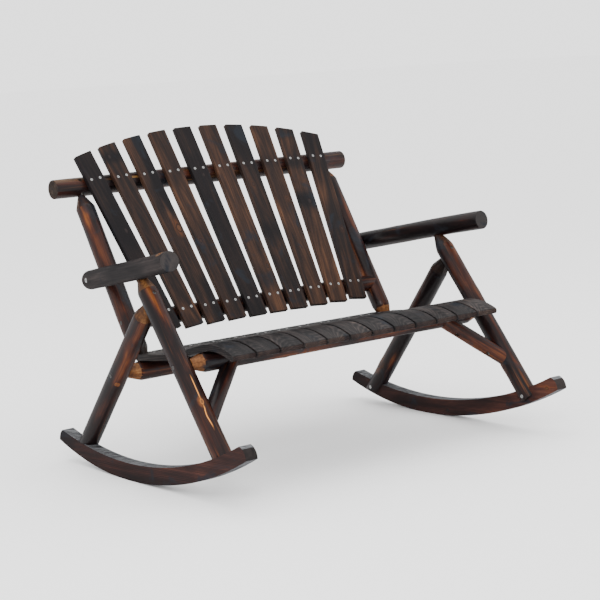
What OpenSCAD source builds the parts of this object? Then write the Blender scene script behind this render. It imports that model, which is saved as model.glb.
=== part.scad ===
// Rustic rocking bench of round logs and sawn slats: two rockers, two leaning
// side frames, a contoured slatted seat and a fanned, reclined slatted back.
// X is the width, the front faces -Y, Z is up. The floor is Z = 0.
// The bench rests on one line across its rockers. Heights are above the floor,
// and a reach or setback is the level distance ahead of or behind that line.

/* [Seat] */
// Width of the seat over all its slats: the frame and the back follow it
seat_width = 927; // [880:1:1000]
// Depth of the seat from its front edge to its rear edge
seat_depth = 508; // [480:1:530]
// Number of seat slats
seat_slats = 12; // [10:1:14]
// Gap between two seat slats
seat_gap = 7; // [4:1:12]
// Thickness of a seat slat
seat_thickness = 17; // [14:1:20]
// Height of the front seat log, which lies between the front legs
front_log_height = 338; // [320:1:355]
// Height of the rear seat log, which lies between the rear legs
rear_log_height = 280; // [265:1:295]
// Radius of the raised crest at the front of the seat
seat_crest_radius = 220; // [190:5:260]
// Radius of the dip behind the front seat log
seat_dip_radius = 420; // [300:10:500]
// Turn of the seat's slope through that dip, in degrees
seat_dip_turn = 8.5; // [6:0.5:11]
// Length of seat slat behind the middle of the rear seat log
seat_rear_overhang = 50; // [40:1:60]

/* [Side frames] */
// Height at which the axes of the front and the rear leg cross
apex_height = 502; // [480:1:530]
// Reach of that crossing ahead of the resting line
apex_reach = 138; // [120:1:155]
// Reach of the front leg's axis, drawn on to the floor
front_foot_reach = 531; // [505:1:550]
// Setback of the rear leg's axis, drawn on to the floor
rear_foot_setback = 283; // [260:1:300]
// Distance from the seat's edge to the legs' axes at their crossing
leg_offset = 64.5; // [58:0.5:75]
// Distance by which each side frame stands wider at the floor than at the crossing
leg_splay = 9.5; // [4:0.5:14]

/* [Rockers] */
// Radius of the rocker's underside ahead of the resting line
rocker_front_radius = 1250; // [1150:5:1500]
// Radius of the rocker's underside behind the resting line
rocker_rear_radius = 1020; // [950:5:1200]
// Radius of the rocker's top
rocker_top_radius = 1260; // [1180:5:1400]
// Height of the rocker over the resting line
rocker_height = 48; // [42:1:60]
// Thickness of the plank that the rocker is sawn from
rocker_thickness = 36; // [30:1:44]
// Distance from the leg's axis at the floor to the rocker's outer face
rocker_offset = 24.5; // [20:0.5:30]
// Reach of the rocker's front end
rocker_front_reach = 573.5; // [545:0.5:620]
// Setback of the rocker's rear end
rocker_rear_setback = 348; // [325:1:400]
// Radius to which the rocker's ends are rounded over
rocker_end_radius = 34; // [25:1:40]

/* [Armrests] */
// Rise of the armrest's axis over the crossing of the legs
arm_rise = 86; // [76:1:100]
// Slope of the armrest towards the front, in degrees
arm_tilt = 10; // [6:0.5:14]
// Reach of the armrest ahead of the crossing of the legs
arm_front_reach = 129; // [110:1:160]
// Distance from the seat's edge to the armrest's outer side at its front end
arm_offset = 117.5; // [100:0.5:125]
// Length of armrest behind its bolt at the back post
arm_overhang = 33; // [28:1:50]
// Radius that eases the edge of the armrest's rear end
arm_end_radius = 12; // [6:1:18]

/* [Back] */
// Recline of the back from upright, in degrees
back_recline = 31.2; // [27:0.1:34]
// Length of post from the rear seat log's axis up to the lower back rail's
lower_rail_rise = 146.6; // [135:0.1:165]
// Distance between the axes of the two back rails along the posts
rails_apart = 434; // [400:1:460]
// Number of back slats
back_slats = 10; // [8:1:10]
// Width of a back slat
back_slat_width = 59; // [50:1:64]
// Thickness of a back slat
back_slat_thickness = 15; // [12:1:18]
// Distance inside the seat's edge of the outer slats, at the lower rail
back_low_inset = 89.75; // [80:0.25:110]
// Distance inside the seat's edge of the outer slats, at the top rail
back_high_inset = 32.15; // [25:0.05:50]
// Length of the back slats below the lower rail's axis
back_tail = 56; // [48:1:60]
// Rise of the arched top over the top rail's axis, at the middle
back_crown = 142.3; // [120:0.1:165]
// Radius of the arch that the slats' tops follow
back_arch_radius = 1480; // [1300:10:1800]
// Radius on the long edges of the slats
slat_edge_radius = 2; // [1:0.5:4]
// Distance of the back posts' axes inside the seat's edge
post_inset = 21.5; // [18:0.5:28]
// Length of the top rail beyond each post's axis
top_rail_overhang = 81; // [65:1:100]

/* [Logs] */
// Diameter of the four legs
leg_d = 55; // [46:1:62]
// Diameter of the armrests
arm_d = 56; // [46:1:62]
// Diameter of the two posts of the back
post_d = 55; // [46:1:60]
// Diameter of the top rail
top_rail_d = 56; // [46:1:62]
// Diameter of the lower rail of the back
lower_rail_d = 50; // [40:1:56]
// Diameter of the two logs that carry the seat
seat_log_d = 54; // [46:1:60]
// Diameter of the knee braces
brace_d = 44; // [34:1:50]
// Length over which a log's end is shaved to a pencil point
pencil_length = 44; // [30:1:60]
// Width left at the small end of a pencil point
pencil_tip = 26; // [16:1:34]
// Width left at the pointed top end of a back post
post_tip = 17; // [12:1:30]
// Number of flats shaved round a pencil point
pencil_flats = 8; // [6:1:10]

/* [Screws] */
// Shank diameter of the slat screws
slat_screw_d = 4; // [3:0.5:5]
// Head diameter of the slat screws
slat_screw_head = 8; // [7:0.5:9]
// Length of the slat screws
slat_screw_length = 45; // [35:1:48]
// Distance between the two screws of a pair in a back slat
back_screw_pair = 29.6; // [24:0.2:34]
// Distance between the two screws of a pair in a seat slat
seat_screw_pair = 30; // [24:1:36]
// Shank diameter of the frame screws
frame_screw_d = 6; // [5:0.5:7]
// Head diameter of the frame screws
frame_screw_head = 11; // [10:0.5:12]
// Shank diameter of the armrest bolts
arm_bolt_d = 7; // [6:0.5:8]
// Head diameter of the armrest bolts
arm_bolt_head = 13; // [11:0.5:15]

/* [Hidden] */
$fn = 96;

// Clearances
seat_fit = 0.3;
screw_fit = 0.1;
tip_room = 1;
head_depth = 0.4;
overrun = 5;

// Colours
log_colour = [0.27, 0.15, 0.10];
rocker_colour = [0.22, 0.14, 0.12];
back_slat_colour = [0.20, 0.14, 0.12];
seat_slat_colour = [0.17, 0.16, 0.16];
steel_colour = [0.78, 0.78, 0.76];

// Points of the side view are [y, z].
function cross2(a, b) = a[0] * b[1] - a[1] * b[0];
// Where the line through p along u meets the line through q along v
function meet(p, u, q, v) = p + u * cross2(q - p, v) / cross2(u, v);
// Point of the line through p and q at height z
function at_height(p, q, z) = p + (q - p) * (z - p[1]) / (q[1] - p[1]);
function side_to_space(x, p) = [x, p[0], p[1]];
function unit(v) = v / norm(v);
half_turn = 180;

// The side view is first laid out from the resting line at y = 0.
apex_laid = [-apex_reach, apex_height];
rear_log_laid = at_height([rear_foot_setback, 0], apex_laid, rear_log_height);
post_depth = back_slat_thickness + seat_fit + top_rail_d / 2;
back_up = [sin(back_recline), cos(back_recline)];
back_out = [-cos(back_recline), sin(back_recline)];
back_laid = rear_log_laid + back_up * lower_rail_rise + back_out * post_depth;
back_top_reach = rails_apart + back_crown;
back_top_setback = (back_laid + back_up * back_top_reach - back_out * back_slat_thickness)[0];
// The resting line's place, which centres the whole bench on Y = 0
rest_y = (rocker_front_reach - back_top_setback) / 2;

// Side frames
apex = [rest_y, 0] + apex_laid;
front_foot = [rest_y - front_foot_reach, 0];
rear_foot = [rest_y + rear_foot_setback, 0];
front_leg_dir = unit(apex - front_foot);
rear_leg_dir = unit(apex - rear_foot);
front_leg_rake = atan(front_leg_dir[0] / front_leg_dir[1]);
rear_leg_rake = -atan(rear_leg_dir[0] / rear_leg_dir[1]);
seat_half = seat_width / 2;
foot_x = seat_half + leg_offset + leg_splay;
function leg_x(z) = foot_x - leg_splay * z / apex_height;
function on_leg(side, dir, z) = side_to_space(side * leg_x(z), apex + dir * (z - apex[1]) / dir[1]);
rocker_outer_x = foot_x + rocker_offset;
lap_x = rocker_outer_x - rocker_thickness;

// Seat logs, and the back: its plane is the slats' front faces, and the posts and rails lie behind it.
front_log = at_height(front_foot, apex, front_log_height);
rear_log = at_height(rear_foot, apex, rear_log_height);
back_origin = [rest_y, 0] + back_laid;
lower_rail_depth = back_slat_thickness + seat_fit + lower_rail_d / 2;
post_base = back_origin - back_out * post_depth;
post_x = seat_half - post_inset;
post_span = 2 * post_x;
top_rail_length = post_span + 2 * top_rail_overhang;

// Armrests: they pass over the front legs and run in to the outer sides of the back posts.
arm_dir = [-cos(arm_tilt), sin(arm_tilt)];
arm_over_apex = apex + [0, arm_rise];
arm_at_post = meet(arm_over_apex, arm_dir, post_base, back_up);
arm_post_x = post_x + post_d / 2 + arm_d / 2 + seat_fit;
arm_front = arm_over_apex + arm_dir * arm_front_reach / cos(arm_tilt);
arm_run = norm(arm_front - arm_at_post);
arm_toe = atan((seat_half + arm_offset - arm_d / 2 - arm_post_x) / arm_run);
arm_front_x = seat_half + arm_offset - arm_d / 2 * cos(arm_toe);
function arm_point(side, along) = let (share = along / arm_run)
    side_to_space(side * (arm_post_x + (arm_front_x - arm_post_x) * share),
        arm_at_post + (arm_front - arm_at_post) * share);

// Seat profile: its underside touches the front log at front_seat and the rear log at rear_seat.
seat_slope = atan((front_log[1] - rear_log[1]) / (rear_log[0] - front_log[0]));
front_slope = seat_slope + seat_dip_turn / 2;
rear_slope = seat_slope - seat_dip_turn / 2;
front_up = [sin(front_slope), cos(front_slope)];
rear_up = [sin(rear_slope), cos(rear_slope)];
front_run = [cos(front_slope), -sin(front_slope)];
rear_run = [cos(rear_slope), -sin(rear_slope)];
front_seat = front_log + front_up * (seat_log_d / 2 + seat_fit);
rear_seat = rear_log + rear_up * (seat_log_d / 2 + seat_fit);
dip_chord = (front_up - rear_up) * seat_dip_radius;
seat_span = rear_seat - front_seat - dip_chord;
front_straight = cross2(seat_span, rear_run) / cross2(front_run, rear_run);
dip_centre = front_seat + front_run * front_straight + front_up * seat_dip_radius;
crest_centre = front_seat - front_up * (seat_crest_radius - seat_thickness);
crest_middle_radius = seat_crest_radius - seat_thickness / 2;
seat_rear_end = rear_seat + rear_run * seat_rear_overhang + rear_up * seat_thickness;
seat_front_y = seat_rear_end[0] - seat_depth;
nose_angle = asin((crest_centre[0] - seat_thickness / 2 - seat_front_y) / crest_middle_radius);
nose_centre = crest_centre + crest_middle_radius * [-sin(nose_angle), cos(nose_angle)];
arc_steps = 16;

seat_slat_width = (seat_width - (seat_slats - 1) * seat_gap) / seat_slats;
function seat_slat_x(i) = (i - (seat_slats - 1) / 2) * (seat_slat_width + seat_gap);
// The outer slats are cut out round the pointed feet of the back posts.
notch_room = 4;
post_at_seat = at_height(post_base, post_base + back_up, seat_rear_end[1]);
notch_y = post_at_seat[0] - pencil_tip / 2 - notch_room;
notch_x = post_x - pencil_tip / 2 - notch_room;

back_pitch_low = (seat_width - 2 * back_low_inset - back_slat_width) / (back_slats - 1);
back_pitch_high = (seat_width - 2 * back_high_inset - back_slat_width) / (back_slats - 1);
function back_slat_x(i, v) = (i - (back_slats - 1) / 2)
    * (back_pitch_low + (back_pitch_high - back_pitch_low) * v / rails_apart);
function back_fan(i) = atan((back_slat_x(i, rails_apart) - back_slat_x(i, 0)) / rails_apart);

// Heights over the rocker's underside of the front leg's end, on its axis, and of the trimmed cheeks
foot_rise = 13;
cheek_trim = 11;

// Frame screws: their lengths, and their places on the logs that they go through
cheek_screw_length = 42;
toe_screw_length = 54;
toe_screw_rise = 22;
toe_screw_aside = 12;
toe_screw_tilt = 40;
leg_top_screw_length = 110;
arm_leg_screw_length = 110;
arm_bolt_length = 92;
rail_screw_length = 80;
rail_screw_angle = 10;
rail_screw_aim = 45;
lower_rail_screw_length = 100;
log_screw_length = 100;
post_foot_screw_length = 90;
brace_foot_screw_length = 65;
brace_foot_screw_place = 65;
brace_head_screw_length = 52;
brace_head_screw_place = 60;

// Knee braces: the height at which they meet the front legs, and their place on the front log
brace_leg_height = 201;
brace_log_inset = 93.5;
brace_log_x = seat_half - brace_log_inset;

// A round log from p to q
module log(p, q, d) {
    v = q - p;
    translate(p)
        rotate([0, acos(v[2] / norm(v)), atan2(v[1], v[0])])
            cylinder(h = norm(v), d = d);
}

// Carries its children to p, with their +Z along direction v
module aim(p, v) {
    translate(p)
        rotate([0, acos(v[2] / norm(v)), atan2(v[1], v[0])])
            children();
}

// Flats that shave a log's end: the log comes up +Z, and its point is at Z = 0.
module pencil_cut(d, tip, length) {
    slope = atan((d - tip) / 2 / length);
    for (k = [0 : pencil_flats - 1])
        rotate([0, 0, k * 360 / pencil_flats])
            translate([tip / 2, 0, 0])
                rotate([0, -slope, 0])
                    translate([0, -d, -2 * length])
                        cube([d, 2 * d, 4 * length]);
}

// Countersunk screw: its head's top lies at Z = 0 and it points down -Z.
module screw(d, head, length) {
    head_height = (head - d) / 2;
    translate([0, 0, -head_height])
        cylinder(h = head_height, d1 = d, d2 = head);
    translate([0, 0, -length])
        cylinder(h = length - head_height, d = d);
}

// Countersunk hole for that screw, open upwards
module screw_hole(d, head, length) {
    head_height = (head - d) / 2;
    translate([0, 0, -head_height])
        cylinder(h = head_height, d1 = d + 2 * screw_fit, d2 = head + 2 * screw_fit);
    translate([0, 0, -length - tip_room])
        cylinder(h = length + tip_room - head_height, d = d + 2 * screw_fit);
    cylinder(h = 2 * overrun, d = head + 2 * screw_fit);
}

// Depth at which a flat head lies just below the surface of a round log
function sunk(log_d, head) = head_depth + (log_d - sqrt(pow(log_d, 2) - pow(head + 2 * screw_fit, 2))) / 2;

// Draws its children, made for the right side, on the side asked for
module sided(side) {
    if (side > 0)
        children();
    else
        mirror([1, 0, 0])
            children();
}

// Places of the frame screws on the right side: [the head's top, the way that the screw points out].
// Point of a leg's axis at radius r from the point at height h over the resting line
function leg_at_radius(dir, h, r) = let (q = apex - [rest_y, h], b = q * dir)
    apex - dir * (b + sqrt(b * b - q * q + r * r));
rocker_top_centre = rocker_height + rocker_top_radius;
function bottom_radius(dir) = dir[0] > 0 ? rocker_front_radius : rocker_rear_radius;
function leg_over_floor(dir, rise) = leg_at_radius(dir, bottom_radius(dir), bottom_radius(dir) - rise);
function leg_over_rocker(dir, rise) = leg_at_radius(dir, rocker_top_centre, rocker_top_radius - rise);
function leg_side(dir) = [dir[1], -dir[0]];
function cheek_screw(dir) = let (p = leg_over_floor(dir, rocker_height / 2))
    [side_to_space(leg_x(p[1]) - leg_d / 2 + sunk(leg_d, frame_screw_head), p), [-1, 0, 0]];
function toe_screw(dir) = let (
    p = leg_over_rocker(dir, 0) + dir * toe_screw_rise + leg_side(dir) * toe_screw_aside,
    half = sqrt(pow(leg_d / 2, 2) - pow(toe_screw_aside, 2)) - frame_screw_head / 2)
    [side_to_space(leg_x(p[1]) + half, p), side_to_space(sin(toe_screw_tilt), dir * cos(toe_screw_tilt))];
leg_angle = front_leg_rake + rear_leg_rake;
leg_top_screw = [side_to_space(leg_x(apex[1]), apex + rear_leg_dir
    * (leg_d / 2 / sin(leg_angle) - sunk(leg_d, frame_screw_head)
        - frame_screw_head / 2 / tan(leg_angle))),
    side_to_space(0, rear_leg_dir)];
arm_over_leg = meet(apex, front_leg_dir, arm_over_apex, arm_dir);
arm_leg_angle = front_leg_rake - arm_tilt;
arm_leg_screw = [side_to_space(leg_x(arm_over_leg[1]), arm_over_leg + front_leg_dir
    * (arm_d / 2 - sunk(arm_d, frame_screw_head) - frame_screw_head / 2 * sin(arm_leg_angle))),
    side_to_space(0, front_leg_dir)];
arm_bolt = [side_to_space(arm_post_x + arm_d / 2 - sunk(arm_d, arm_bolt_head), arm_at_post), [1, 0, 0]];
top_rail = back_origin + back_up * rails_apart - back_out * post_depth;
rail_screw_from = top_rail + (back_out * cos(rail_screw_angle) + back_up * sin(rail_screw_angle))
    * (top_rail_d / 2 - frame_screw_head / 2);
rail_screw_out = unit(rail_screw_from - (top_rail - back_up * rail_screw_aim));
rail_screw = [side_to_space(post_x, rail_screw_from), side_to_space(0, rail_screw_out)];
lower_rail = back_origin - back_out * lower_rail_depth;
lower_rail_screw = [side_to_space(post_x + post_d / 2 - sunk(post_d, frame_screw_head), lower_rail),
    [1, 0, 0]];
function log_screw(p) = [side_to_space(leg_x(p[1]) + leg_d / 2 - sunk(leg_d, frame_screw_head), p),
    [1, 0, 0]];
post_foot_screw = [side_to_space(post_x, rear_log
    - back_up * (seat_log_d / 2 - sunk(seat_log_d, frame_screw_head))), side_to_space(0, -back_up)];

// Knee braces: their ends lie on the axes of the front leg and of the front log.
brace_foot = on_leg(1, front_leg_dir, brace_leg_height);
brace_head = side_to_space(brace_log_x, front_log);
brace_dir = unit(brace_foot - brace_head);
front_leg_axis = unit(on_leg(1, front_leg_dir, apex[1]) - brace_foot);
brace_leg_square = unit(front_leg_axis - brace_dir * (front_leg_axis * brace_dir));
brace_log_square = unit([1, 0, 0] - brace_dir * brace_dir[0]);
brace_head_out = unit([0, brace_dir[1], brace_dir[2]]);
brace_foot_screw = [brace_foot - brace_dir * brace_foot_screw_place
    - brace_leg_square * (brace_d - frame_screw_head) / 2, [-1, 0, 0]];
brace_head_screw = [brace_head + brace_dir * brace_head_screw_place
    - brace_log_square * (brace_d - frame_screw_head) / 2, brace_head_out];

module frame_screw(place, length) {
    aim(place[0], place[1])
        screw(frame_screw_d, frame_screw_head, length);
}

module frame_hole(place, length) {
    aim(place[0], place[1])
        screw_hole(frame_screw_d, frame_screw_head, length);
}

// Rockers: sawn along arcs from a thick plank, ends rounded over down to a sharp toe.
// One half in side view: x runs from the resting line out to the rocker's end.
module rocker_half(radius, reach) {
    toe_height = radius - sqrt(pow(radius, 2) - pow(reach, 2));
    difference() {
        intersection() {
            translate([0, radius])
                circle(radius, $fn = 360);
            square([reach + overrun, radius]);
        }
        translate([0, rocker_top_centre])
            circle(rocker_top_radius, $fn = 360);
        translate([reach - rocker_end_radius, toe_height])
            difference() {
                translate([0, -rocker_end_radius])
                    square([2 * rocker_end_radius, 4 * rocker_end_radius]);
                circle(rocker_end_radius);
            }
    }
}

module rocker(side) {
    color(rocker_colour)
        sided(side)
            difference() {
                translate([lap_x, rest_y, 0])
                    rotate([90, 0, 90])
                        linear_extrude(rocker_thickness) {
                            rocker_half(rocker_rear_radius, rocker_rear_setback);
                            mirror([1, 0])
                                rocker_half(rocker_front_radius, rocker_front_reach);
                        }
                for (dir = [front_leg_dir, rear_leg_dir]) {
                    frame_hole(cheek_screw(dir), cheek_screw_length);
                    frame_hole(toe_screw(dir), toe_screw_length);
                }
            }
}

// All that lies outside radius r round a level line at height h over the resting line, from x on
module outside_arc(x, width, h, r) {
    translate([x, rest_y, h])
        rotate([90, 0, 90])
            difference() {
                cylinder(h = width, r = r + leg_d, $fn = 360);
                translate([0, 0, -overrun])
                    cylinder(h = width + 2 * overrun, r = r, $fn = 360);
            }
}

// What a leg loses at its foot: it stands on the rocker, laps over its inner face and is trimmed there.
module foot_cut(dir) {
    outside_arc(lap_x - seat_fit, leg_d, rocker_top_centre, rocker_top_radius - seat_fit);
    outside_arc(lap_x - 2 * leg_d, 4 * leg_d, bottom_radius(dir), bottom_radius(dir) - cheek_trim);
}

module front_leg_log(d) {
    foot = leg_over_floor(front_leg_dir, foot_rise);
    log(on_leg(1, front_leg_dir, foot[1]), on_leg(1, front_leg_dir, arm_over_leg[1]), d);
}

module rear_leg_log(d) {
    foot = leg_over_floor(rear_leg_dir, -leg_d / 2);
    log(on_leg(1, rear_leg_dir, foot[1]), side_to_space(leg_x(apex[1]), apex), d);
}

module arm_log(d) {
    log(arm_point(1, -arm_overhang), arm_point(1, arm_run), d);
}

module front_leg(side) {
    head = side_to_space(leg_x(arm_over_leg[1]), arm_over_leg);
    point = head - front_leg_axis * (arm_d / 2 + seat_fit) / cos(arm_leg_angle);
    color(log_colour)
        sided(side)
            difference() {
                front_leg_log(leg_d);
                aim(point, front_leg_axis)
                    pencil_cut(leg_d, pencil_tip, pencil_length);
                arm_log(arm_d + 2 * seat_fit);
                foot_cut(front_leg_dir);
                frame_hole(cheek_screw(front_leg_dir), cheek_screw_length);
                frame_hole(toe_screw(front_leg_dir), toe_screw_length);
                frame_hole(leg_top_screw, leg_top_screw_length);
                frame_hole(arm_leg_screw, arm_leg_screw_length);
                frame_hole(log_screw(front_log), log_screw_length);
                frame_hole(brace_foot_screw, brace_foot_screw_length);
            }
}

module rear_leg(side) {
    head = side_to_space(leg_x(apex[1]), apex);
    axis = unit(head - on_leg(1, rear_leg_dir, rear_log[1]));
    point = head - axis * (leg_d / 2 + seat_fit) / sin(leg_angle);
    color(log_colour)
        sided(side)
            difference() {
                rear_leg_log(leg_d);
                aim(point, axis)
                    pencil_cut(leg_d, pencil_tip, pencil_length);
                front_leg_log(leg_d + 2 * seat_fit);
                foot_cut(rear_leg_dir);
                frame_hole(cheek_screw(rear_leg_dir), cheek_screw_length);
                frame_hole(toe_screw(rear_leg_dir), toe_screw_length);
                frame_hole(leg_top_screw, leg_top_screw_length);
                frame_hole(log_screw(rear_log), log_screw_length);
            }
}

// Armrests: the rear end is rounded over, the front end is sawn square with an eased edge.
module eased_log(d, length, low, high) {
    rotate_extrude() {
        square([d / 2 - low, length / 2]);
        translate([0, low])
            square([d / 2, length / 2 - low]);
        translate([d / 2 - low, low])
            circle(low);
        translate([0, length / 2])
            square([d / 2 - high, length / 2]);
        translate([0, length / 2])
            square([d / 2, length / 2 - high]);
        translate([d / 2 - high, length - high])
            circle(high);
    }
}

module armrest(side) {
    rear_end = arm_point(1, -arm_overhang);
    front_end = arm_point(1, arm_run);
    color(log_colour)
        sided(side)
            difference() {
                aim(rear_end, front_end - rear_end)
                    eased_log(arm_d, norm(front_end - rear_end), arm_end_radius, slat_edge_radius);
                frame_hole(arm_leg_screw, arm_leg_screw_length);
                aim(arm_bolt[0], arm_bolt[1])
                    screw_hole(arm_bolt_d, arm_bolt_head, arm_bolt_length);
            }
}

// Back posts: pointed at both ends, between the rear seat log and the top rail
module back_post(side) {
    foot = side_to_space(post_x, rear_log);
    head = side_to_space(post_x, top_rail);
    up = unit(head - foot);
    color(log_colour)
        sided(side)
            difference() {
                log(foot, head, post_d);
                aim(foot + up * (seat_log_d / 2 + seat_fit), -up)
                    pencil_cut(post_d, pencil_tip, pencil_length);
                aim(head - up * (top_rail_d / 2 + seat_fit), up)
                    pencil_cut(post_d, post_tip, pencil_length);
                level_log(rear_log, 4 * post_x, seat_log_d + 2 * seat_fit);
                level_log(top_rail, 4 * post_x, top_rail_d + 2 * seat_fit);
                frame_hole(rail_screw, rail_screw_length);
                frame_hole(lower_rail_screw, lower_rail_screw_length);
                frame_hole(post_foot_screw, post_foot_screw_length);
                aim(arm_bolt[0], arm_bolt[1])
                    screw_hole(arm_bolt_d, arm_bolt_head, arm_bolt_length);
            }
}

// A log along X, centred on the bench
module level_log(p, length, d) {
    translate(side_to_space(-length / 2, p))
        rotate([0, 90, 0])
            cylinder(h = length, d = d);
}

// Both ends of a cross log: its children are made for the right side.
module both_sides() {
    children();
    mirror([1, 0, 0])
        children();
}

// Slats and rails of the back: X across, Y up along the back, Z out of the slats' faces
module on_back() {
    translate(side_to_space(0, back_origin))
        rotate([90 - back_recline, 0, 0])
            children();
}

module on_back_slat(i) {
    translate([back_slat_x(i, 0), 0, 0])
        rotate([0, 0, -back_fan(i)])
            children();
}

module at_back_screws(i, row) {
    on_back_slat(i)
        for (side = [-1, 1])
            translate([side * back_screw_pair / 2, row * rails_apart / cos(back_fan(i)), 0])
                children();
}

module top_rail() {
    color(log_colour)
        difference() {
            translate(side_to_space(-top_rail_length / 2, top_rail))
                rotate([0, 90, 0])
                    eased_log(top_rail_d, top_rail_length, slat_edge_radius, slat_edge_radius);
            on_back()
                for (i = [0 : back_slats - 1])
                    at_back_screws(i, 1)
                        screw_hole(slat_screw_d, slat_screw_head, slat_screw_length);
            both_sides()
                frame_hole(rail_screw, rail_screw_length);
        }
}

module lower_back_rail() {
    color(log_colour)
        difference() {
            level_log(lower_rail, post_span, lower_rail_d);
            both_sides()
                log(side_to_space(post_x, rear_log), side_to_space(post_x, top_rail),
                    post_d + 2 * seat_fit);
            on_back()
                for (i = [0 : back_slats - 1])
                    at_back_screws(i, 0)
                        screw_hole(slat_screw_d, slat_screw_head, slat_screw_length);
            both_sides()
                frame_hole(lower_rail_screw, lower_rail_screw_length);
        }
}

// Seat logs: pencil points butt against the inner sides of the legs.
module seat_log_end(p) {
    x = leg_x(p[1]);
    aim(side_to_space(x - leg_d / 2 - seat_fit, p), [1, 0, 0])
        pencil_cut(seat_log_d, pencil_tip, pencil_length);
    frame_hole(log_screw(p), log_screw_length);
}

module front_seat_log() {
    color(log_colour)
        difference() {
            level_log(front_log, 2 * leg_x(front_log[1]), seat_log_d);
            both_sides() {
                seat_log_end(front_log);
                front_leg_log(leg_d + 2 * seat_fit);
                frame_hole(brace_head_screw, brace_head_screw_length);
            }
            for (i = [0 : seat_slats - 1])
                at_front_seat_screws(i)
                    screw_hole(slat_screw_d, slat_screw_head, slat_screw_length);
        }
}

module rear_seat_log() {
    color(log_colour)
        difference() {
            level_log(rear_log, 2 * leg_x(rear_log[1]), seat_log_d);
            both_sides() {
                seat_log_end(rear_log);
                rear_leg_log(leg_d + 2 * seat_fit);
                frame_hole(post_foot_screw, post_foot_screw_length);
            }
            for (i = [0 : seat_slats - 1])
                at_rear_seat_screws(i)
                    screw_hole(slat_screw_d, slat_screw_head, slat_screw_length);
        }
}

// Knee braces: coped over the front leg and under the front seat log
module knee_brace(side) {
    color(log_colour)
        sided(side)
            difference() {
                log(brace_foot, brace_head, brace_d);
                front_leg_log(leg_d + 2 * seat_fit);
                level_log(front_log, 2 * leg_x(front_log[1]), seat_log_d + 2 * seat_fit);
                frame_hole(brace_foot_screw, brace_foot_screw_length);
                frame_hole(brace_head_screw, brace_head_screw_length);
            }
}

// Back slats: sawn boards with eased edges, tops cut to one arch, screwed on in two rows
module board_section(width, thickness, edge) {
    translate([-width / 2 + edge, 0])
        square([width - 2 * edge, thickness]);
    translate([-width / 2, edge])
        square([width, thickness - 2 * edge]);
    for (x = [-width / 2 + edge, width / 2 - edge], y = [edge, thickness - edge])
        translate([x, y])
            circle(edge, $fn = 32);
}

module back_slat(i) {
    color(back_slat_colour)
        on_back()
            difference() {
                intersection() {
                    on_back_slat(i)
                        translate([0, -back_tail, 0])
                            rotate([-90, 0, 0])
                                linear_extrude(back_tail + rails_apart + 2 * back_crown)
                                    board_section(back_slat_width, back_slat_thickness, slat_edge_radius);
                    translate([0, rails_apart + back_crown - back_arch_radius,
                        -back_slat_thickness - overrun])
                        cylinder(h = back_slat_thickness + 2 * overrun, r = back_arch_radius,
                            $fn = 360);
                }
                for (row = [0, 1])
                    at_back_screws(i, row)
                        screw_hole(slat_screw_d, slat_screw_head, slat_screw_length);
            }
}

// Seat slats: a sawn profile with a raised crest at the front and a dip behind it
function arc(centre, radius, from, to) = [for (k = [0 : arc_steps])
    let (a = from + (to - from) * k / arc_steps) centre + radius * [sin(a), cos(a)]];

module seat_profile() {
    polygon(concat(
        arc(nose_centre, seat_thickness / 2, -nose_angle - half_turn, -nose_angle),
        arc(crest_centre, seat_crest_radius, -nose_angle, front_slope),
        arc(dip_centre, seat_thickness - seat_dip_radius, front_slope, rear_slope),
        [seat_rear_end, seat_rear_end - rear_up * seat_thickness],
        arc(dip_centre, -seat_dip_radius, rear_slope, front_slope),
        arc(crest_centre, seat_crest_radius - seat_thickness, front_slope, -nose_angle)));
}

module at_front_seat_screws(i) {
    for (side = [-1, 1])
        aim(side_to_space(seat_slat_x(i) + side * seat_screw_pair / 2,
            front_seat + front_up * seat_thickness), side_to_space(0, front_up))
            children();
}

// The outer slats are cut out round the posts' feet, so each has one screw on the rear log.
function rear_screw_x(i) = let (x = seat_slat_x(i), inner = x - sign(x) * seat_slat_width / 2)
    abs(x) + seat_screw_pair / 2 < notch_x ? [x - seat_screw_pair / 2, x + seat_screw_pair / 2]
        : [(inner + sign(x) * notch_x) / 2];

module at_rear_seat_screws(i) {
    for (x = rear_screw_x(i))
        aim(side_to_space(x, rear_seat + rear_up * seat_thickness), side_to_space(0, rear_up))
            children();
}

module seat_slat(i) {
    color(seat_slat_colour)
        difference() {
            translate([seat_slat_x(i) - seat_slat_width / 2, 0, 0])
                rotate([90, 0, 90])
                    linear_extrude(seat_slat_width)
                        seat_profile();
            both_sides()
                translate([notch_x, notch_y, 0])
                    cube([seat_width, seat_depth, apex_height]);
            at_front_seat_screws(i)
                screw_hole(slat_screw_d, slat_screw_head, slat_screw_length);
            at_rear_seat_screws(i)
                screw_hole(slat_screw_d, slat_screw_head, slat_screw_length);
        }
}

// Screws, in groups of like ones
module back_screws(row) {
    color(steel_colour)
        on_back()
            for (i = [0 : back_slats - 1])
                at_back_screws(i, row)
                    screw(slat_screw_d, slat_screw_head, slat_screw_length);
}

module front_seat_screws() {
    color(steel_colour)
        for (i = [0 : seat_slats - 1])
            at_front_seat_screws(i)
                screw(slat_screw_d, slat_screw_head, slat_screw_length);
}

module rear_seat_screws() {
    color(steel_colour)
        for (i = [0 : seat_slats - 1])
            at_rear_seat_screws(i)
                screw(slat_screw_d, slat_screw_head, slat_screw_length);
}

module rocker_screws() {
    color(steel_colour)
        both_sides()
            for (dir = [front_leg_dir, rear_leg_dir]) {
                frame_screw(cheek_screw(dir), cheek_screw_length);
                frame_screw(toe_screw(dir), toe_screw_length);
            }
}

module screw_pair(place, length) {
    color(steel_colour)
        both_sides()
            frame_screw(place, length);
}

module arm_post_bolts() {
    color(steel_colour)
        both_sides()
            aim(arm_bolt[0], arm_bolt[1])
                screw(arm_bolt_d, arm_bolt_head, arm_bolt_length);
}

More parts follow.
